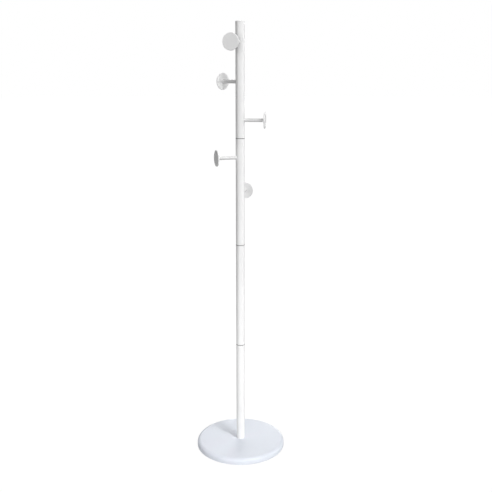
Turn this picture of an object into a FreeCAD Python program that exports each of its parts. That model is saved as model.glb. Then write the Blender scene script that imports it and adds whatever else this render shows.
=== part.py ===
import FreeCAD, Part
import math
import os

# Standing coat rack: a round weighted base, a pole of four tube sections that screw together
# end to end, and five identical hooks, each a short round stem with a flat disc at its end.
# Millimetres. +Z is up. The origin is on the floor, under the middle of the base.

# Overall size
TOTAL_HEIGHT = 1700.0
BASE_DIAMETER = 360.0
BASE_TOP = 27.5
SECTION_PITCH = 415.0
SECTION_COUNT = 4

# Base
FOOT_HEIGHT = 2.0
EDGE_RADIUS = 15.0
COVER_WALL = 1.5
LIP_WIDTH = 4.0
UNDER_PLATE_THICKNESS = 1.5
WEIGHT_GAP = 0.3
FOOT_DIAMETER = 22.0
FOOT_COUNT = 6
FOOT_CIRCLE_RADIUS = 150.0
FIRST_FOOT_AZIMUTH = 30.0
FOOT_EDGE = 0.8

# Bolt that holds the pole on the base
BOLT_THREAD = 10.0
THREAD_PLAY = 0.1
BOLT_CLEARANCE_HOLE = 11.0
BOLT_HEAD_FLATS = 16.0
BOLT_HEAD_HEIGHT = 6.4
BOLT_HEAD_CHAMFER = 1.2
BOLT_HEAD_END_DIAMETER = 15.5
BOLT_LENGTH = 40.0
POCKET_DIAMETER = 34.0
POCKET_CEILING = 15.0
WASHER_DIAMETER = 30.0
WASHER_THICKNESS = 2.5
SPRING_WASHER_DIAMETER = 17.6
SPRING_WASHER_THICKNESS = 2.2
SPRING_WASHER_SLOT = 2.0

# Pole
POLE_DIAMETER = 34.0
TUBE_WALL = 1.2
TUBE_END_CHAMFER = 0.4
INSERT_PLAY = 0.1
INSERT_LENGTH = 28.0
RIM_THICKNESS = 1.0
RIM_DIAMETER = 34.4
STUD_LENGTH = 46.0
CAP_RIM = 1.2
CAP_HEIGHT = 3.4
CAP_SKIRT_LENGTH = 14.0
CAP_SKIRT_WALL = 2.0
CAP_EDGE_RADIUS = 1.2

# Hooks
HOOK_STEM_DIAMETER = 14.0
HOOK_DISC_DIAMETER = 63.0
HOOK_DISC_THICKNESS = 4.5
HOOK_REACH = 93.5
DISC_EDGE_RADIUS = 1.9
SPIGOT_DIAMETER = 8.0
SPIGOT_LENGTH = 3.0
SPIGOT_PLAY = 0.1
HOOK_THREAD = 6.0
HOOK_STUD_LENGTH = 25.0
HOOK_STUD_START = 7.5
TAPPED_DEPTH = 16.0
NUT_BODY_DIAMETER = 9.0
NUT_FLANGE_DIAMETER = 11.0
NUT_FLANGE_THICKNESS = 0.8
NUT_LENGTH = 11.0
NUT_BULGE_DIAMETER = 11.4
NUT_BULGE_LENGTH = 2.6
NUT_RECESS_DIAMETER = 11.6
TOP_HOOK_HEIGHT = 1623.5
HOOK_SPACING = 141.25
HOOK_AZIMUTHS = (249.0, 135.0, 352.0, 197.5, 77.5)

# How far a cutting or joining shape runs past a face, so that the two never only touch
OVERRUN = 1.0

# Worked out from the above
UP = FreeCAD.Vector(0, 0, 1)
CENTRE = FreeCAD.Vector(0, 0, 0)
BASE_RADIUS = BASE_DIAMETER / 2
POLE_RADIUS = POLE_DIAMETER / 2
TUBE_INNER_RADIUS = POLE_RADIUS - TUBE_WALL
INSERT_RADIUS = TUBE_INNER_RADIUS - INSERT_PLAY / 2
LIP_TOP = FOOT_HEIGHT + COVER_WALL
UNDER_PLATE_TOP = LIP_TOP + UNDER_PLATE_THICKNESS
THREAD_SHANK = BOLT_THREAD - THREAD_PLAY
HOOK_SHANK = HOOK_THREAD - THREAD_PLAY
NUT_SEAT = POLE_RADIUS + NUT_FLANGE_THICKNESS
STEM_END = HOOK_REACH - HOOK_DISC_THICKNESS / 2


def at(x, z):
    """A point of an outline in the XZ plane."""
    return FreeCAD.Vector(x, 0, z)


def turned(edges):
    """The solid that a closed outline makes when it turns about the Z axis."""
    face = Part.Face(Part.Wire(edges))
    return face.revolve(CENTRE, UP, 360)


def lines(points):
    """Straight edges through the points in turn."""
    return [Part.LineSegment(a, b).toShape() for a, b in zip(points, points[1:])]


def quarter(corner, radius, x_side, z_side):
    """A quarter circle inside an outline's corner, from its upright side to its level side."""
    middle_x = corner.x + x_side * radius
    middle_z = corner.z + z_side * radius
    reach = radius * math.sqrt(0.5)
    halfway = at(middle_x - x_side * reach, middle_z - z_side * reach)
    return Part.Arc(at(corner.x, middle_z), halfway, at(middle_x, corner.z)).toShape()


def rod(diameter, low, high):
    """A round bar on the Z axis between two heights."""
    return Part.makeCylinder(diameter / 2, high - low, FreeCAD.Vector(0, 0, low))


def bored(solid, diameter, low, high):
    """The solid with a round hole on the Z axis between two heights."""
    return solid.cut(rod(diameter, low, high))


def ring(outer_diameter, inner_diameter, low, high):
    """A round bar on the Z axis with a round hole through it."""
    return bored(rod(outer_diameter, low, high), inner_diameter, low - OVERRUN, high + OVERRUN)


def joint_height(number):
    """The height of the line between section `number` and the one above it."""
    return BASE_TOP + number * SECTION_PITCH


def hook_height(number):
    return TOP_HOOK_HEIGHT - (number - 1) * HOOK_SPACING


def on_hook(solid, number):
    """Moves a shape made along +Z from the pole's axis so that it lies along a hook."""
    placed = solid.copy()
    placed.rotate(CENTRE, FreeCAD.Vector(0, 1, 0), 90)
    placed.rotate(CENTRE, UP, HOOK_AZIMUTHS[number - 1])
    placed.translate(FreeCAD.Vector(0, 0, hook_height(number)))
    return placed


# ---- base ----

def base_cover():
    """Pressed sheet shell: flat top, rounded edge, straight side and a lip turned in below."""
    inner_radius = BASE_RADIUS - COVER_WALL
    lip_radius = inner_radius - LIP_WIDTH
    hole_radius = BOLT_CLEARANCE_HOLE / 2
    top_inside = BASE_TOP - COVER_WALL
    side_top = BASE_TOP - EDGE_RADIUS
    flat_radius = BASE_RADIUS - EDGE_RADIUS
    outside = lines([at(lip_radius, FOOT_HEIGHT),
                     at(BASE_RADIUS, FOOT_HEIGHT),
                     at(BASE_RADIUS, side_top)])
    outside.append(quarter(at(BASE_RADIUS, BASE_TOP), EDGE_RADIUS, -1, -1))
    top = lines([at(flat_radius, BASE_TOP),
                 at(hole_radius, BASE_TOP),
                 at(hole_radius, top_inside),
                 at(flat_radius, top_inside)])
    top.append(quarter(at(inner_radius, top_inside), EDGE_RADIUS - COVER_WALL, -1, -1))
    inside = lines([at(inner_radius, side_top),
                    at(inner_radius, LIP_TOP),
                    at(lip_radius, LIP_TOP),
                    at(lip_radius, FOOT_HEIGHT)])
    return turned(outside + top + inside)


def base_under_plate():
    """Flat disc that closes the base from below, with an access hole for the bolt."""
    plate_radius = BASE_RADIUS - COVER_WALL - WEIGHT_GAP
    return ring(2 * plate_radius, POCKET_DIAMETER, LIP_TOP, UNDER_PLATE_TOP)


def base_weight():
    """Cast disc that fills the cover, with a pocket below for the bolt's head and washers."""
    side_radius = BASE_RADIUS - COVER_WALL - WEIGHT_GAP
    edge_radius = EDGE_RADIUS - COVER_WALL
    top = BASE_TOP - COVER_WALL
    edges = lines([at(0, UNDER_PLATE_TOP),
                   at(side_radius, UNDER_PLATE_TOP),
                   at(side_radius, top - edge_radius)])
    edges.append(quarter(at(side_radius, top), edge_radius, -1, -1))
    edges += lines([at(side_radius - edge_radius, top),
                    at(0, top),
                    at(0, UNDER_PLATE_TOP)])
    weight = bored(turned(edges), BOLT_CLEARANCE_HOLE, 0, BASE_TOP)
    return bored(weight, POCKET_DIAMETER, 0, POCKET_CEILING)


def base_washer():
    """Large flat washer that spreads the bolt's pull over the weight."""
    return ring(WASHER_DIAMETER, BOLT_CLEARANCE_HOLE,
                POCKET_CEILING - WASHER_THICKNESS, POCKET_CEILING)


def base_spring_washer():
    """Split lock washer between the bolt's head and the flat washer."""
    high = POCKET_CEILING - WASHER_THICKNESS
    low = high - SPRING_WASHER_THICKNESS
    washer = ring(SPRING_WASHER_DIAMETER, BOLT_CLEARANCE_HOLE, low, high)
    slot = Part.makeBox(SPRING_WASHER_DIAMETER, SPRING_WASHER_SLOT, high - low,
                        FreeCAD.Vector(0, -SPRING_WASHER_SLOT / 2, low))
    return washer.cut(slot)


def base_bolt():
    """Hexagon-head bolt, head down, with the head's lower corners chamfered."""
    seat = POCKET_CEILING - WASHER_THICKNESS - SPRING_WASHER_THICKNESS
    head_bottom = FreeCAD.Vector(0, 0, seat - BOLT_HEAD_HEIGHT)
    corner_radius = BOLT_HEAD_FLATS / math.sqrt(3)
    corners = []
    for step in range(7):
        angle = math.radians(60 * step)
        across = FreeCAD.Vector(math.cos(angle), math.sin(angle), 0)
        corners.append(head_bottom + across * corner_radius)
    head = Part.Face(Part.makePolygon(corners)).extrude(UP * BOLT_HEAD_HEIGHT)
    end_radius = BOLT_HEAD_END_DIAMETER / 2
    slope = (corner_radius - end_radius) / BOLT_HEAD_CHAMFER
    wide_radius = end_radius + slope * BOLT_HEAD_HEIGHT
    head = head.common(Part.makeCone(end_radius, wide_radius, BOLT_HEAD_HEIGHT, head_bottom))
    shank = rod(THREAD_SHANK, seat - OVERRUN, seat + BOLT_LENGTH)
    return head.fuse(shank).removeSplitter()


def base_feet():
    """Soft round pads under the base; the coat rack stands on their lower faces."""
    radius = FOOT_DIAMETER / 2
    edges = lines([at(0, 0), at(radius - FOOT_EDGE, 0)])
    edges.append(quarter(at(radius, 0), FOOT_EDGE, -1, 1))
    edges += lines([at(radius, FOOT_EDGE), at(radius, LIP_TOP), at(0, LIP_TOP), at(0, 0)])
    pad = turned(edges)
    pads = []
    for step in range(FOOT_COUNT):
        angle = math.radians(FIRST_FOOT_AZIMUTH + 360 * step / FOOT_COUNT)
        placed = pad.copy()
        placed.translate(FreeCAD.Vector(FOOT_CIRCLE_RADIUS * math.cos(angle),
                                        FOOT_CIRCLE_RADIUS * math.sin(angle), 0))
        pads.append(placed)
    return Part.makeCompound(pads)


# ---- pole ----

def tube(low, high):
    """A length of round tube with its outer edges lightly chamfered."""
    outer = rod(POLE_DIAMETER, low, high)
    rims = [edge for edge in outer.Edges if edge.Closed]
    outer = outer.makeChamfer(TUBE_END_CHAMFER, rims)
    return bored(outer, 2 * TUBE_INNER_RADIUS, low - OVERRUN, high + OVERRUN)


def pole_section(number):
    """Section 1 stands on the base and the last one carries the cap."""
    low = joint_height(number - 1)
    high = joint_height(number)
    if number > 1:
        low += RIM_THICKNESS
    if number < SECTION_COUNT:
        high -= RIM_THICKNESS
    else:
        high = TOTAL_HEIGHT - CAP_HEIGHT
    section = tube(low, high)
    for hook in range(1, len(HOOK_AZIMUTHS) + 1):
        if low < hook_height(hook) < high:
            section = section.cut(on_hook(rod(NUT_BODY_DIAMETER, 0, POLE_DIAMETER), hook))
    return section


def pole_foot_insert():
    """Threaded plug in the lower end of section 1, which the base bolt screws into."""
    plug = rod(2 * INSERT_RADIUS, BASE_TOP, BASE_TOP + INSERT_LENGTH)
    return bored(plug, BOLT_THREAD, 0, TOTAL_HEIGHT)


def joint_insert(number, side):
    """Threaded plug in a tube's end, below (-1) or above (+1) a joint, with its thin rim."""
    middle = joint_height(number)
    rim_low, rim_high = sorted((middle, middle + side * RIM_THICKNESS))
    plug_low, plug_high = sorted((middle, middle + side * (RIM_THICKNESS + INSERT_LENGTH)))
    rim = rod(RIM_DIAMETER, rim_low, rim_high)
    insert = rim.fuse(rod(2 * INSERT_RADIUS, plug_low, plug_high))
    return bored(insert, BOLT_THREAD, 0, TOTAL_HEIGHT).removeSplitter()


def joint_studs():
    """One threaded stud across each joint."""
    studs = []
    for number in range(1, SECTION_COUNT):
        middle = joint_height(number)
        studs.append(rod(THREAD_SHANK, middle - STUD_LENGTH / 2, middle + STUD_LENGTH / 2))
    return Part.makeCompound(studs)


def top_cap():
    """Moulded cap: a slightly domed head as wide as the pole, and a hollow skirt in the tube."""
    bottom = TOTAL_HEIGHT - CAP_HEIGHT
    shoulder = bottom + CAP_RIM
    skirt_low = bottom - CAP_SKIRT_LENGTH
    skirt_inner = INSERT_RADIUS - CAP_SKIRT_WALL
    crown_radius = POLE_RADIUS - CAP_EDGE_RADIUS
    crown_low = shoulder + CAP_EDGE_RADIUS
    rise = TOTAL_HEIGHT - crown_low
    sphere = (crown_radius ** 2 + rise ** 2) / (2 * rise)
    half_x = crown_radius / 2
    half_z = TOTAL_HEIGHT - sphere + math.sqrt(sphere ** 2 - half_x ** 2)
    edges = lines([at(0, bottom),
                   at(skirt_inner, bottom),
                   at(skirt_inner, skirt_low),
                   at(INSERT_RADIUS, skirt_low),
                   at(INSERT_RADIUS, bottom),
                   at(POLE_RADIUS, bottom),
                   at(POLE_RADIUS, shoulder)])
    edges.append(quarter(at(POLE_RADIUS, crown_low), CAP_EDGE_RADIUS, -1, -1))
    edges.append(Part.Arc(at(crown_radius, crown_low), at(half_x, half_z),
                          at(0, TOTAL_HEIGHT)).toShape())
    edges += lines([at(0, TOTAL_HEIGHT), at(0, bottom)])
    return turned(edges)


# ---- hooks, each made along +Z from the pole's axis ----

def hook_stem(number):
    """Round bar whose inner end is cut to the pole's curve, with a tapped hole at that end
    and a short spigot at the other that sits in the disc."""
    stem = rod(HOOK_STEM_DIAMETER, 0, STEM_END)
    spigot = rod(SPIGOT_DIAMETER, STEM_END - OVERRUN, STEM_END + SPIGOT_LENGTH)
    stem = stem.fuse(spigot).removeSplitter()
    pole = Part.makeCylinder(POLE_RADIUS, POLE_DIAMETER, FreeCAD.Vector(-POLE_RADIUS, 0, 0),
                             FreeCAD.Vector(1, 0, 0))
    stem = stem.cut(pole)
    stem = bored(stem, NUT_RECESS_DIAMETER, 0, NUT_SEAT)
    stem = bored(stem, HOOK_THREAD, 0, NUT_SEAT + TAPPED_DEPTH)
    return on_hook(stem, number)


def hook_disc(number):
    """Flat disc with a rounded rim, a plain face and a shallow hole behind for the spigot."""
    radius = HOOK_DISC_DIAMETER / 2
    front = STEM_END + HOOK_DISC_THICKNESS
    hole_radius = (SPIGOT_DIAMETER + SPIGOT_PLAY) / 2
    hole_end = STEM_END + SPIGOT_LENGTH + SPIGOT_PLAY
    edges = lines([at(0, hole_end),
                   at(hole_radius, hole_end),
                   at(hole_radius, STEM_END),
                   at(radius - DISC_EDGE_RADIUS, STEM_END)])
    edges.append(quarter(at(radius, STEM_END), DISC_EDGE_RADIUS, -1, 1))
    edges += lines([at(radius, STEM_END + DISC_EDGE_RADIUS), at(radius, front - DISC_EDGE_RADIUS)])
    edges.append(quarter(at(radius, front), DISC_EDGE_RADIUS, -1, -1))
    edges += lines([at(radius - DISC_EDGE_RADIUS, front), at(0, front), at(0, hole_end)])
    return on_hook(turned(edges), number)


def hook_studs():
    """One threaded stud from each stem into the rivet nut in the pole's wall."""
    stud = rod(HOOK_SHANK, HOOK_STUD_START, HOOK_STUD_START + HOOK_STUD_LENGTH)
    return Part.makeCompound([on_hook(stud, n) for n in range(1, len(HOOK_AZIMUTHS) + 1)])


def hook_rivet_nuts():
    """One rivet nut per hook: a thin flange outside the tube, a body through its wall and a
    bulge behind the wall where the nut was set."""
    body = rod(NUT_BODY_DIAMETER, NUT_SEAT - NUT_LENGTH, NUT_SEAT)
    flange = rod(NUT_FLANGE_DIAMETER, POLE_RADIUS, NUT_SEAT)
    bulge_radius = NUT_BULGE_DIAMETER / 2
    bulge_high = math.sqrt(TUBE_INNER_RADIUS ** 2 - bulge_radius ** 2)
    bulge = rod(NUT_BULGE_DIAMETER, bulge_high - NUT_BULGE_LENGTH, bulge_high)
    nut = body.fuse([flange, bulge]).removeSplitter()
    nut = bored(nut, HOOK_THREAD, 0, POLE_DIAMETER)
    return Part.makeCompound([on_hook(nut, n) for n in range(1, len(HOOK_AZIMUTHS) + 1)])


def pieces():
    """Every node by name."""
    made = {
        "base_cover": base_cover(),
        "base_weight": base_weight(),
        "base_under_plate": base_under_plate(),
        "base_washer": base_washer(),
        "base_spring_washer": base_spring_washer(),
        "base_bolt": base_bolt(),
        "base_feet": base_feet(),
        "pole_foot_insert": pole_foot_insert(),
        "joint_studs": joint_studs(),
        "top_cap": top_cap(),
        "hook_studs": hook_studs(),
        "hook_rivet_nuts": hook_rivet_nuts(),
    }
    for number in range(1, SECTION_COUNT + 1):
        made["pole_section_%d" % number] = pole_section(number)
    for number in range(1, SECTION_COUNT):
        made["joint_%d_lower_insert" % number] = joint_insert(number, -1)
        made["joint_%d_upper_insert" % number] = joint_insert(number, 1)
    for number in range(1, len(HOOK_AZIMUTHS) + 1):
        made["hook_%d_stem" % number] = hook_stem(number)
        made["hook_%d_disc" % number] = hook_disc(number)
    return made


os.makedirs("parts", exist_ok=True)
for name, shape in pieces().items():
    if not shape.isValid():
        raise ValueError(name + " is not a valid shape")
    shape.exportStep("parts/%s.step" % name)
    print("%-24s %2d solid(s) %12.1f mm3" % (name, len(shape.Solids), shape.Volume))
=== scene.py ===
import math

import bpy
from mathutils import Matrix, Vector


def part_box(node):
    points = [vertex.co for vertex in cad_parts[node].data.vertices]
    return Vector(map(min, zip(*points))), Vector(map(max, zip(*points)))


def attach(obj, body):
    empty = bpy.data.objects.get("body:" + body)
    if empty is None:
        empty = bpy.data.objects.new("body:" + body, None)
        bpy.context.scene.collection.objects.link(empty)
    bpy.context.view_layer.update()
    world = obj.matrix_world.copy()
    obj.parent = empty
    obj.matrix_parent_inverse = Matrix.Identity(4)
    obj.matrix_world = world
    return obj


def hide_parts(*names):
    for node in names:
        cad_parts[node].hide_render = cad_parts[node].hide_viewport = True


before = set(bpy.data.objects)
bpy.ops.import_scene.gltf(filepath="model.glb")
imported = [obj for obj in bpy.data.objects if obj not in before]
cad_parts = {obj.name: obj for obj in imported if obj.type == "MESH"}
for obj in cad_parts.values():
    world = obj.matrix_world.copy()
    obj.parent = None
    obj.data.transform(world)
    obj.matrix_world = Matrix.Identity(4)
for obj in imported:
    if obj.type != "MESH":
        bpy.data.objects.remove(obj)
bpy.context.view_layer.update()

# Standing coat rack. Metres, +Z up, the camera on the -Y side. Radii, heights and places are read
# from the frame; the sizes below are the ones that a node's box doesn't give.
MM = 0.001
SECTIONS = 4
HOOKS = 5

# Edges of sheet metal and mouldings, and the angle above which an edge is drawn sharp
SMALL_EDGE = 0.3 * MM
SHARP_DEGREES = 40

# Base
COVER_WALL = 1.5 * MM
COVER_EDGE_RADIUS = 15 * MM
COVER_FOLD_RADIUS = 1.2 * MM
COVER_LIP = 5.5 * MM
COVER_HOLE_RADIUS = 5.5 * MM
POCKET_RADIUS = 17 * MM
FOOT_COUNT = 6
FOOT_RADIUS = 11 * MM
FOOT_EDGE = 0.8 * MM
FIRST_FOOT_AZIMUTH = 30.0
FOOT_GROOVE_DEPTH = 0.35 * MM
FOOT_GROOVE_HALF_WIDTH = 0.5 * MM
FOOT_GROOVE_PLACES = (0.4, 0.7)

# Pole
TUBE_WALL = 1.2 * MM
TUBE_EDGE = 0.45 * MM
TUBE_INNER_EDGE = 0.2 * MM
RIM_THICKNESS = 1.0 * MM
RIM_EDGE = 0.25 * MM
INSERT_PLAY = 0.05 * MM
INSERT_HOLE_RADIUS = 5 * MM
INSERT_HOLE_EDGE = 0.4 * MM
INSERT_END_EDGE = 0.6 * MM
CAP_RIM = 1.2 * MM
CAP_EDGE = 1.1 * MM
CAP_LOWER_EDGE = 0.2 * MM
CAP_SKIRT_LENGTH = 14 * MM
CAP_SKIRT_WALL = 2 * MM
CAP_SKIRT_EDGE = 0.5 * MM

# Hooks
DISC_THICKNESS = 4.5 * MM
DISC_EDGE = 1.9 * MM
SPIGOT_RADIUS = 4 * MM
SPIGOT_LENGTH = 3 * MM
SPIGOT_HOLE_PLAY = 0.05 * MM
SPIGOT_END_GAP = 0.1 * MM
STEM_EDGE = 0.25 * MM
STEM_SADDLE_LENGTH = 3 * MM
STEM_HOLE_RADIUS = 3 * MM
STEM_HOLE_DEPTH = 16 * MM
NUT_RECESS_RADIUS = 5.8 * MM
NUT_RECESS_DEPTH = 0.8 * MM

# Stage
PAPER_SIZE = 3.0
PAPER_DEPTH = 1 * MM
PAPER_BRIGHTNESS = 0.5
FLOOR_BRIGHTNESS = 0.08
FLOOR_GLOW = 0.95
BACKDROP_RADIUS = 40.0
BACKDROP_DEPTH = 2 * MM
BACKDROP_GLOW = 1.0
BACKDROP_STEPS = 24
BACKDROP_DIVISIONS = 96

# Camera
LENS = 53.53
SENSOR_WIDTH = 36
CAMERA_PLACE = (0, -2.795, 1.527)
CAMERA_DOWN_DEGREES = 13.58
CAMERA_RIGHT_DEGREES = 0.455

# How finely round things are divided
BASE_DIVISIONS = 288
POLE_DIVISIONS = 128
DISC_DIVISIONS = 160
STEM_DIVISIONS = 96
SMALL_DIVISIONS = 64
CORNER_STEPS = 5


# ---- meshes ----

def finish_mesh(name, vertices, faces, material):
    """A smooth-shaded piece on the rack's one body, with flat faces kept flat."""
    mesh = bpy.data.meshes.new(name)
    mesh.from_pydata(vertices, [], faces)
    mesh.validate()
    mesh.polygons.foreach_set("use_smooth", [True] * len(mesh.polygons))
    mesh.set_sharp_from_angle(angle=math.radians(SHARP_DEGREES))
    mesh.materials.append(material)
    piece = bpy.data.objects.new(name, mesh)
    bpy.context.scene.collection.objects.link(piece)
    weighted = piece.modifiers.new("flat_faces", "WEIGHTED_NORMAL")
    weighted.keep_sharp = True
    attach(piece, "root")
    return piece


def rounded(corners, steps=CORNER_STEPS):
    """Points of a closed outline from (radius, height, rounding) corners, each one rounded off."""
    points = []
    for n, (x, z, rounding) in enumerate(corners):
        here = Vector((x, z))
        before = (Vector(corners[n - 1][:2]) - here).normalized()
        after = (Vector(corners[(n + 1) % len(corners)][:2]) - here).normalized()
        if rounding <= 0:
            points.append(here)
            continue
        half = before.angle(after) / 2
        centre = here + (before + after).normalized() * (rounding / math.sin(half))
        start = here + before * (rounding / math.tan(half)) - centre
        end = here + after * (rounding / math.tan(half)) - centre
        turn = start.angle_signed(end)
        count = max(2, round(steps * (1 + rounding / (3 * MM))))
        for step in range(count + 1):
            angle = -turn * step / count
            spoke = Matrix.Rotation(angle, 2) @ start
            points.append(centre + spoke)
    return points


def lathe(outline, divisions, centre=(0, 0, 0)):
    """Vertices and faces of the outline turned about the Z axis. Points on the axis stay single."""
    vertices = []
    rings = []
    offset = Vector(centre)
    for x, z in outline:
        if x < 1e-7:
            rings.append([len(vertices)] * divisions)
            vertices.append(offset + Vector((0, 0, z)))
            continue
        rings.append(list(range(len(vertices), len(vertices) + divisions)))
        for step in range(divisions):
            angle = 2 * math.pi * step / divisions
            vertices.append(offset + Vector((x * math.cos(angle), x * math.sin(angle), z)))
    faces = []
    for n in range(len(rings)):
        low, high = rings[n - 1], rings[n]
        if low[0] == low[-1] and high[0] == high[-1]:
            continue
        for step in range(divisions):
            after = (step + 1) % divisions
            corners = [low[step], low[after], high[after], high[step]]
            faces.append(tuple(dict.fromkeys(corners)))
    return vertices, faces


def joined(parts):
    """Several (vertices, faces) as one."""
    vertices, faces = [], []
    for more_vertices, more_faces in parts:
        start = len(vertices)
        vertices += more_vertices
        faces += [tuple(start + v for v in face) for face in more_faces]
    return vertices, faces


def moved(shape, matrix):
    """The (vertices, faces) carried to their place by the matrix."""
    vertices, faces = shape
    return [matrix @ v for v in vertices], faces


def box_size(node):
    """(radius, lowest height, highest height) of a node that is round about the pole's axis."""
    low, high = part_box(node)
    return (high.x - low.x) / 2, low.z, high.z


def hook_place(number):
    """(matrix from a shape made along +Z to the hook, the disc's radius, reach of its back face)."""
    low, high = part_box("hook_%d_disc" % number)
    centre = (low + high) / 2
    azimuth = math.atan2(centre.y, centre.x)
    reach = math.hypot(centre.x, centre.y)
    turn = Matrix.Rotation(azimuth, 4, "Z") @ Matrix.Rotation(math.pi / 2, 4, "Y")
    matrix = Matrix.Translation((0, 0, centre.z)) @ turn
    return matrix, (high.z - low.z) / 2, reach - DISC_THICKNESS / 2


# ---- materials ----

def new_material(name):
    """(material, its node tree, its shader, the object coordinates that its textures use)."""
    material = bpy.data.materials.new(name)
    material.use_nodes = True
    tree = material.node_tree
    shader = tree.nodes["Principled BSDF"]
    place = tree.nodes.new("ShaderNodeTexCoord").outputs["Object"]
    return material, tree, shader, place


def noise(tree, place, scale, detail=3.0, roughness=0.55, stretch=None):
    """The factor output of a noise texture, `scale` cycles to the metre."""
    if stretch:
        mapping = tree.nodes.new("ShaderNodeMapping")
        mapping.inputs["Scale"].default_value = stretch
        tree.links.new(place, mapping.inputs["Vector"])
        place = mapping.outputs["Vector"]
    node = tree.nodes.new("ShaderNodeTexNoise")
    node.inputs["Scale"].default_value = scale
    node.inputs["Detail"].default_value = detail
    node.inputs["Roughness"].default_value = roughness
    tree.links.new(place, node.inputs["Vector"])
    return node.outputs["Fac"]


def cells(tree, place, scale):
    """The distance output of a Voronoi texture, `scale` cells to the metre."""
    node = tree.nodes.new("ShaderNodeTexVoronoi")
    node.inputs["Scale"].default_value = scale
    tree.links.new(place, node.inputs["Vector"])
    return node.outputs["Distance"]


def ramp(tree, factor, stops):
    """A colour ramp with (position, colour) stops."""
    node = tree.nodes.new("ShaderNodeValToRGB")
    elements = node.color_ramp.elements
    for element, (position, colour) in zip(elements, (stops[0], stops[-1])):
        element.position = position
        element.color = (*colour, 1)
    for position, colour in stops[1:-1]:
        elements.new(position).color = (*colour, 1)
    tree.links.new(factor, node.inputs["Fac"])
    return node.outputs["Color"]


def spread(tree, factor, low, high):
    """The factor's usual 0.3 to 0.7 stretched over low to high."""
    node = tree.nodes.new("ShaderNodeMapRange")
    node.inputs["From Min"].default_value = 0.3
    node.inputs["From Max"].default_value = 0.7
    node.inputs["To Min"].default_value = low
    node.inputs["To Max"].default_value = high
    tree.links.new(factor, node.inputs["Value"])
    return node.outputs["Result"]


def bump(tree, height, depth, normal=None):
    """A bump whose highest point stands `depth` metres above its lowest."""
    node = tree.nodes.new("ShaderNodeBump")
    node.inputs["Strength"].default_value = 1.0
    node.inputs["Distance"].default_value = depth
    tree.links.new(height, node.inputs["Height"])
    if normal:
        tree.links.new(normal, node.inputs["Normal"])
    return node.outputs["Normal"]


def powder_coat(name, colour, patch=(0.975, 0.975, 0.975), roughness=(0.33, 0.42), shine=0.5):
    """Smooth satin powder coat with faint patches and the fine orange peel of baked powder."""
    material, tree, shader, place = new_material(name)
    dark = tuple(p * c for p, c in zip(patch, colour))
    light = tuple(min(1.0, 1.01 * c) for c in colour)
    cloud = noise(tree, place, 9, detail=4)
    tree.links.new(ramp(tree, cloud, [(0.3, dark), (0.5, colour), (0.7, light)]),
                   shader.inputs["Base Color"])
    gloss = noise(tree, place, 60, detail=5)
    tree.links.new(spread(tree, gloss, *roughness), shader.inputs["Roughness"])
    shader.inputs["Specular IOR Level"].default_value = shine
    peel = bump(tree, noise(tree, place, 420, detail=1), 0.012 * MM)
    grain = bump(tree, noise(tree, place, 2600, detail=2), 0.002 * MM, peel)
    tree.links.new(grain, shader.inputs["Normal"])
    shader.inputs["IOR"].default_value = 1.5
    return material


def moulded_white(name, colour):
    """Satin moulded plastic with faint flow marks."""
    material, tree, shader, place = new_material(name)
    dark = tuple(0.97 * c for c in colour)
    cloud = noise(tree, place, 40, detail=4, stretch=(1, 1, 0.3))
    tree.links.new(ramp(tree, cloud, [(0.3, dark), (0.7, colour)]), shader.inputs["Base Color"])
    tree.links.new(spread(tree, noise(tree, place, 150), 0.4, 0.5), shader.inputs["Roughness"])
    shader.inputs["Specular IOR Level"].default_value = 0.3
    tree.links.new(bump(tree, noise(tree, place, 900), 0.003 * MM), shader.inputs["Normal"])
    return material


def turned_steel(name, colour, streak):
    """Machined, plated steel: fine rings about the Z axis and slightly mottled plating."""
    material, tree, shader, place = new_material(name)
    dark = tuple(0.72 * c for c in colour)
    cloud = noise(tree, place, 260, detail=5)
    tree.links.new(ramp(tree, cloud, [(0.3, dark), (0.7, colour)]), shader.inputs["Base Color"])
    shader.inputs["Metallic"].default_value = 1.0
    rings = noise(tree, place, 90, detail=4, stretch=streak)
    tree.links.new(spread(tree, rings, 0.3, 0.5), shader.inputs["Roughness"])
    tree.links.new(bump(tree, rings, 0.01 * MM), shader.inputs["Normal"])
    return material


def concrete(name):
    """Cast concrete: mottled grey with sand grains and small blow holes."""
    material, tree, shader, place = new_material(name)
    cloud = noise(tree, place, 45, detail=8, roughness=0.7)
    stops = [(0.25, (0.30, 0.29, 0.27)), (0.5, (0.46, 0.45, 0.43)), (0.75, (0.58, 0.57, 0.54))]
    tree.links.new(ramp(tree, cloud, stops), shader.inputs["Base Color"])
    tree.links.new(spread(tree, cloud, 0.82, 0.96), shader.inputs["Roughness"])
    pits = bump(tree, cells(tree, place, 260), 0.4 * MM)
    tree.links.new(bump(tree, noise(tree, place, 700, detail=6), 0.15 * MM, pits),
                   shader.inputs["Normal"])
    return material


def black_sheet(name):
    """Matt black plastic sheet with a fine leather-like grain."""
    material, tree, shader, place = new_material(name)
    cloud = noise(tree, place, 25, detail=5)
    tree.links.new(ramp(tree, cloud, [(0.3, (0.012, 0.012, 0.013)), (0.7, (0.022, 0.022, 0.023))]),
                   shader.inputs["Base Color"])
    tree.links.new(spread(tree, cloud, 0.5, 0.64), shader.inputs["Roughness"])
    tree.links.new(bump(tree, cells(tree, place, 900), 0.05 * MM), shader.inputs["Normal"])
    return material


def soft_rubber(name):
    """Dull grey rubber with a dusty bloom."""
    material, tree, shader, place = new_material(name)
    cloud = noise(tree, place, 140, detail=6)
    tree.links.new(ramp(tree, cloud, [(0.3, (0.028, 0.028, 0.03)), (0.75, (0.055, 0.054, 0.055))]),
                   shader.inputs["Base Color"])
    tree.links.new(spread(tree, cloud, 0.72, 0.9), shader.inputs["Roughness"])
    tree.links.new(bump(tree, noise(tree, place, 1600), 0.03 * MM), shader.inputs["Normal"])
    return material


# ---- base ----

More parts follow.
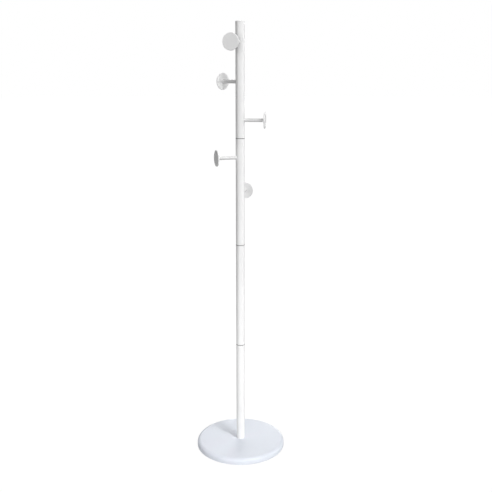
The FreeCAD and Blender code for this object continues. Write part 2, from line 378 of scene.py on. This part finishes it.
def make_base_cover(paint):
    """A pressed sheet shell with a rounded edge and a lip turned in below."""
    radius, low, high = box_size("base_cover")
    inner = radius - COVER_WALL
    top_inside = high - COVER_WALL
    outline = rounded([
        (radius - COVER_LIP, low, SMALL_EDGE),
        (radius, low, COVER_FOLD_RADIUS),
        (radius, high, COVER_EDGE_RADIUS),
        (COVER_HOLE_RADIUS, high, SMALL_EDGE),
        (COVER_HOLE_RADIUS, top_inside, SMALL_EDGE),
        (inner, top_inside, COVER_EDGE_RADIUS - COVER_WALL),
        (inner, low + COVER_WALL, SMALL_EDGE),
        (radius - COVER_LIP, low + COVER_WALL, SMALL_EDGE),
    ])
    vertices, faces = lathe(outline, BASE_DIVISIONS)
    cover = finish_mesh("base_cover_shell", vertices, faces, paint)
    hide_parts("base_cover")


def make_under_plate(material):
    """The flat ring that closes the base, open in the middle for the bolt's head."""
    radius, low, high = box_size("base_under_plate")
    outline = rounded([
        (POCKET_RADIUS, low, SMALL_EDGE),
        (radius, low, SMALL_EDGE),
        (radius, high, SMALL_EDGE),
        (POCKET_RADIUS, high, SMALL_EDGE),
    ])
    vertices, faces = lathe(outline, BASE_DIVISIONS)
    plate = finish_mesh("base_under_sheet", vertices, faces, material)
    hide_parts("base_under_plate")


def make_feet(material):
    """Six soft pads with two shallow grip grooves in their lower faces."""
    low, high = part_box("base_feet")
    foot_low, foot_high = low.z, high.z
    circle = (high.y - low.y) / 2 - FOOT_RADIUS
    outline = [(0, foot_low)]
    for place in FOOT_GROOVE_PLACES:
        groove = place * FOOT_RADIUS
        outline += [(groove - FOOT_GROOVE_HALF_WIDTH, foot_low),
                    (groove, foot_low + FOOT_GROOVE_DEPTH),
                    (groove + FOOT_GROOVE_HALF_WIDTH, foot_low)]
    for step in range(CORNER_STEPS + 1):
        angle = math.pi / 2 * step / CORNER_STEPS
        outline.append((FOOT_RADIUS - FOOT_EDGE + FOOT_EDGE * math.sin(angle),
                        foot_low + FOOT_EDGE - FOOT_EDGE * math.cos(angle)))
    outline += [(FOOT_RADIUS, foot_high), (0, foot_high)]
    pads = []
    for step in range(FOOT_COUNT):
        angle = math.radians(FIRST_FOOT_AZIMUTH + 360 * step / FOOT_COUNT)
        centre = (circle * math.cos(angle), circle * math.sin(angle), 0)
        pads.append(lathe(outline, SMALL_DIVISIONS, centre))
    vertices, faces = joined(pads)
    feet = finish_mesh("base_foot_pads", vertices, faces, material)
    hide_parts("base_feet")


# ---- pole ----

def make_pole_section(number, paint):
    """A length of round tube with softly broken ends."""
    node = "pole_section_%d" % number
    radius, low, high = box_size(node)
    inner = radius - TUBE_WALL
    outline = rounded([
        (inner, low, TUBE_INNER_EDGE),
        (radius, low, TUBE_EDGE),
        (radius, high, TUBE_EDGE),
        (inner, high, TUBE_INNER_EDGE),
    ])
    vertices, faces = lathe(outline, POLE_DIVISIONS)
    tube = finish_mesh("pole_tube_%d" % number, vertices, faces, paint)
    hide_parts(node)


def make_joint_insert(number, side, material):
    """A threaded plug with the thin rim that shows between two tubes."""
    node = "joint_%d_%s_insert" % (number, side)
    rim_radius, low, high = box_size(node)
    tube_radius = box_size("pole_section_1")[0]
    plug_radius = tube_radius - TUBE_WALL - INSERT_PLAY
    rim_inner = high - RIM_THICKNESS
    corners = [
        (INSERT_HOLE_RADIUS, low, INSERT_HOLE_EDGE),
        (plug_radius, low, INSERT_END_EDGE),
        (plug_radius, rim_inner, 0),
        (rim_radius, rim_inner, RIM_EDGE),
        (rim_radius, high, RIM_EDGE),
        (INSERT_HOLE_RADIUS, high, INSERT_HOLE_EDGE),
    ]
    if side == "upper":
        corners = [(x, low + high - z, r) for x, z, r in reversed(corners)]
    vertices, faces = lathe(rounded(corners), POLE_DIVISIONS)
    insert = finish_mesh("joint_%d_%s_plug" % (number, side), vertices, faces, material)
    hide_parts(node)


def make_top_cap(material):
    """A slightly domed cap: skirt in the tube, short rim, rounded edge and a shallow crown."""
    radius, low, high = box_size("top_cap")
    head_low = low + CAP_SKIRT_LENGTH
    skirt_outer = radius - TUBE_WALL - INSERT_PLAY
    skirt_inner = skirt_outer - CAP_SKIRT_WALL
    shoulder = head_low + CAP_RIM
    crown_radius = radius - CAP_EDGE
    crown_low = shoulder + CAP_EDGE
    rise = high - crown_low
    sphere = (crown_radius ** 2 + rise ** 2) / (2 * rise)
    outline = [(0, head_low), (skirt_inner, head_low), (skirt_inner, low + SMALL_EDGE),
               (skirt_inner + SMALL_EDGE, low), (skirt_outer - CAP_SKIRT_EDGE, low),
               (skirt_outer, low + CAP_SKIRT_EDGE), (skirt_outer, head_low),
               (radius - CAP_LOWER_EDGE, head_low), (radius, head_low + CAP_LOWER_EDGE)]
    steps = 2 * CORNER_STEPS
    lean = math.asin(crown_radius / sphere)
    for step in range(steps + 1):
        angle = (math.pi / 2 - lean) * step / steps
        outline.append((crown_radius + CAP_EDGE * math.cos(angle),
                        shoulder + CAP_EDGE * math.sin(angle)))
    for step in range(steps):
        angle = lean * (1 - (step + 1) / steps)
        outline.append((sphere * math.sin(angle), high - sphere + sphere * math.cos(angle)))
    vertices, faces = lathe(outline, POLE_DIVISIONS)
    cap = finish_mesh("top_cap_moulding", vertices, faces, material)
    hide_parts("top_cap")


# ---- hooks ----

def make_hook_disc(number, paint):
    """A flat disc with a rounded rim and a shallow hole behind for the stem's spigot."""
    matrix, radius, back = hook_place(number)
    front = back + DISC_THICKNESS
    hole_end = back + SPIGOT_LENGTH + SPIGOT_END_GAP
    hole_radius = SPIGOT_RADIUS + SPIGOT_HOLE_PLAY
    rim = rounded([(hole_radius, back, 0), (radius, back, DISC_EDGE), (radius, front, DISC_EDGE),
                   (0, front, 0)], 2 * CORNER_STEPS)
    outline = [Vector((0, hole_end)), Vector((hole_radius, hole_end))] + rim
    vertices, faces = moved(lathe(outline, DISC_DIVISIONS), matrix)
    disc = finish_mesh("hook_disc_%d" % number, vertices, faces, paint)
    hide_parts("hook_%d_disc" % number)


def make_hook_stem(number, paint):
    """A round bar whose inner end follows the pole's surface."""
    matrix, _, back = hook_place(number)
    low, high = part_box("hook_%d_stem" % number)
    radius = (high.z - low.z) / 2
    pole_radius = box_size("pole_section_1")[0]
    seat = pole_radius + NUT_RECESS_DEPTH
    edge_middle = 0.3 * STEM_EDGE

    def saddle(ring_radius, angle, lift=0.0):
        across = ring_radius * math.sin(angle)
        height = math.sqrt(pole_radius ** 2 - across ** 2) + lift
        return Vector((ring_radius * math.cos(angle), across, height))

    vertices = []
    rings = []

    def ring(maker):
        rings.append(list(range(len(vertices), len(vertices) + STEM_DIVISIONS)))
        for step in range(STEM_DIVISIONS):
            vertices.append(maker(2 * math.pi * step / STEM_DIVISIONS))

    def level(ring_radius, height):
        return lambda a: Vector((ring_radius * math.cos(a), ring_radius * math.sin(a), height))

    hole_end = seat + STEM_HOLE_DEPTH
    vertices.append(Vector((0, 0, hole_end)))
    rings.append([0] * STEM_DIVISIONS)
    ring(level(STEM_HOLE_RADIUS, hole_end))
    ring(level(STEM_HOLE_RADIUS, seat))
    ring(level(NUT_RECESS_RADIUS, seat))
    ring(lambda a: saddle(NUT_RECESS_RADIUS, a))
    ring(lambda a: saddle(radius - STEM_EDGE, a))
    ring(lambda a: saddle(radius - edge_middle, a, edge_middle))
    ring(lambda a: saddle(radius, a, STEM_EDGE))
    ring(level(radius, pole_radius + STEM_SADDLE_LENGTH))
    ring(level(radius, back - STEM_EDGE))
    ring(level(radius - edge_middle, back - edge_middle))
    ring(level(radius - STEM_EDGE, back))
    ring(level(SPIGOT_RADIUS, back))
    ring(level(SPIGOT_RADIUS, back + SPIGOT_LENGTH))
    vertices.append(Vector((0, 0, back + SPIGOT_LENGTH)))
    rings.append([len(vertices) - 1] * STEM_DIVISIONS)
    faces = []
    for low_ring, high_ring in zip(rings, rings[1:]):
        for step in range(STEM_DIVISIONS):
            after = (step + 1) % STEM_DIVISIONS
            corners = [low_ring[step], low_ring[after], high_ring[after], high_ring[step]]
            faces.append(tuple(dict.fromkeys(corners)))
    vertices, faces = moved((vertices, faces), matrix)
    stem = finish_mesh("hook_stem_%d" % number, vertices, faces, paint)
    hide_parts("hook_%d_stem" % number)


# ---- stage, light and camera ----

def stage_piece(name, vertices, faces, material):
    """A floor or wall, which is not part of the rack."""
    mesh = bpy.data.meshes.new(name)
    mesh.from_pydata(vertices, [], faces)
    mesh.materials.append(material)
    piece = bpy.data.objects.new(name, mesh)
    bpy.context.scene.collection.objects.link(piece)
    return piece


def square(half, height):
    """Corners of a level square about the Z axis."""
    return [(-half, -half, height), (half, -half, height),
            (half, half, height), (-half, half, height)]


def seen_only_by_camera(piece):
    """The piece shows in the picture but neither lights, shades nor mirrors in the rack."""
    piece.visible_diffuse = False
    piece.visible_glossy = False
    piece.visible_transmission = False
    piece.visible_volume_scatter = False
    piece.visible_shadow = False


def stage_material(name, colour, glow):
    """Plain matt grey of that brightness that also glows by itself."""
    material = bpy.data.materials.new(name)
    material.use_nodes = True
    shader = material.node_tree.nodes["Principled BSDF"]
    shader.inputs["Base Color"].default_value = (colour, colour, colour, 1)
    shader.inputs["Roughness"].default_value = 1.0
    shader.inputs["Specular IOR Level"].default_value = 0.0
    shader.inputs["Emission Color"].default_value = (1, 1, 1, 1)
    shader.inputs["Emission Strength"].default_value = glow
    return material


def make_stage():
    """A pale paper floor that bounces light, and the plain white surroundings that the camera sees
    in place of the unlit studio."""
    paper = stage_piece("floor_paper", square(PAPER_SIZE / 2, -PAPER_DEPTH), [(0, 1, 2, 3)],
                        stage_material("floor_paper", PAPER_BRIGHTNESS, 0.0))
    paper.visible_camera = False
    white_floor = stage_piece("floor_white", square(BACKDROP_RADIUS, 0), [(0, 1, 2, 3)],
                              stage_material("floor_white", FLOOR_BRIGHTNESS, FLOOR_GLOW))
    seen_only_by_camera(white_floor)
    outline = [(0, -BACKDROP_DEPTH)]
    for step in range(BACKDROP_STEPS + 1):
        angle = math.pi / 2 * step / BACKDROP_STEPS
        outline.append((BACKDROP_RADIUS * math.cos(angle), BACKDROP_RADIUS * math.sin(angle)))
    outline[-1] = (0, BACKDROP_RADIUS)
    vertices, faces = lathe(outline, BACKDROP_DIVISIONS)
    backdrop = stage_piece("backdrop_white", vertices, faces,
                           stage_material("backdrop", 0.0, BACKDROP_GLOW))
    seen_only_by_camera(backdrop)


def make_world():
    """A dark world: the lamps and the paper floor give all the light."""
    world = bpy.data.worlds.new("studio")
    bpy.context.scene.world = world
    world.use_nodes = True
    background = world.node_tree.nodes["Background"]
    background.inputs["Color"].default_value = (1, 1, 1, 1)
    background.inputs["Strength"].default_value = 0.0


def soft_light(name, azimuth, elevation, spread_degrees, strength):
    """A far soft box seen at that azimuth, to the right of the camera, and elevation."""
    a, e = math.radians(azimuth), math.radians(elevation)
    back = Vector((math.sin(a) * math.cos(e), -math.cos(a) * math.cos(e), math.sin(e)))
    data = bpy.data.lights.new(name, "SUN")
    data.angle = math.radians(spread_degrees)
    data.energy = strength
    lamp = bpy.data.objects.new(name, data)
    lamp.location = 3 * back + Vector((0, 0, 0.8))
    lamp.rotation_mode = "QUATERNION"
    lamp.rotation_quaternion = (-back).to_track_quat("-Z", "Y")
    bpy.context.scene.collection.objects.link(lamp)


def near_light(name, azimuth, distance, height, width, depth, power):
    """A small soft box beside the rack, aimed at its base."""
    a = math.radians(azimuth)
    place = Vector((distance * math.sin(a), -distance * math.cos(a), height))
    data = bpy.data.lights.new(name, "AREA")
    data.shape = "RECTANGLE"
    data.size = width
    data.size_y = depth
    data.energy = power
    lamp = bpy.data.objects.new(name, data)
    lamp.location = place
    lamp.rotation_mode = "QUATERNION"
    lamp.rotation_quaternion = (Vector((0, 0, 0.1)) - place).to_track_quat("-Z", "Y")
    bpy.context.scene.collection.objects.link(lamp)


def make_camera():
    """The photograph's viewpoint, above the rack's middle and looking down."""
    data = bpy.data.cameras.new("camera")
    data.lens = LENS
    data.sensor_width = SENSOR_WIDTH
    camera = bpy.data.objects.new("camera", data)
    camera.location = CAMERA_PLACE
    camera.rotation_euler = (math.radians(90 - CAMERA_DOWN_DEGREES), 0,
                             math.radians(-CAMERA_RIGHT_DEGREES))
    bpy.context.scene.collection.objects.link(camera)
    bpy.context.scene.camera = camera


white_paint = powder_coat("white_paint", (0.86, 0.86, 0.86))
disc_paint = powder_coat("disc_paint", (0.88, 0.88, 0.88), roughness=(0.45, 0.55), shine=0.3)
# The stems are the pole's white paint, painted darker (0.75 against 0.86) to stand in for the shade
# that falls on them
stem_paint_painted_shade = powder_coat("stem_paint_painted_shade", (0.75, 0.75, 0.75))
base_paint = powder_coat("base_paint", (0.75, 0.787, 0.855), (1.0, 0.975, 0.985), shine=0.35)
cap_plastic = moulded_white("cap_plastic", (0.82, 0.82, 0.82))
# Dark plated steel for the joint rims. Their darkness is partly the steel's own and partly painted
# shade of the fine gap between two tubes
insert_steel = turned_steel("insert_steel", (0.17, 0.17, 0.175), (0.05, 0.05, 8))
zinc = turned_steel("zinc_steel", (0.62, 0.63, 0.64), (1, 1, 1))
weight_concrete = concrete("weight_concrete")
under_sheet = black_sheet("under_sheet")
foot_rubber = soft_rubber("foot_rubber")

make_base_cover(base_paint)
make_under_plate(under_sheet)
make_feet(foot_rubber)
for number in range(1, SECTIONS + 1):
    make_pole_section(number, white_paint)
for number in range(1, SECTIONS):
    # The rims' dark steel also paints the shade in the joint gaps
    make_joint_insert(number, "lower", insert_steel)
    make_joint_insert(number, "upper", insert_steel)
make_top_cap(cap_plastic)
for number in range(1, HOOKS + 1):
    make_hook_disc(number, disc_paint)
    make_hook_stem(number, stem_paint_painted_shade)

kept = {
    "base_weight": weight_concrete,
    "base_washer": zinc,
    "base_spring_washer": zinc,
    "base_bolt": zinc,
    "pole_foot_insert": insert_steel,
    "joint_studs": zinc,
    "hook_studs": zinc,
    "hook_rivet_nuts": zinc,
}
for name, material in kept.items():
    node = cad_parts[name]
    for slot in node.material_slots:
        slot.material = material

make_stage()
make_world()
make_camera()

# (name, degrees right of the camera, elevation, spread in degrees, strength)
soft_light("key_high", 40, 42, 24, 1.5)
soft_light("key_low", 40, 6, 60, 0.68)
soft_light("front", 20, 30, 70, 0.55)
soft_light("left_low", 328, 4, 30, 0.92)
soft_light("right_low", 100, 4, 30, 1.0)
soft_light("back_high", 200, 50, 70, 1.4)
soft_light("back_low", 175, 4, 20, 0.9)
# (name, degrees right of the camera, distance, height, width, depth, power)
near_light("floor_fill", 340, 1.0, 0.35, 0.6, 0.5, 1.9)

view = bpy.context.scene.view_settings
view.view_transform = "Standard"
view.look = "None"
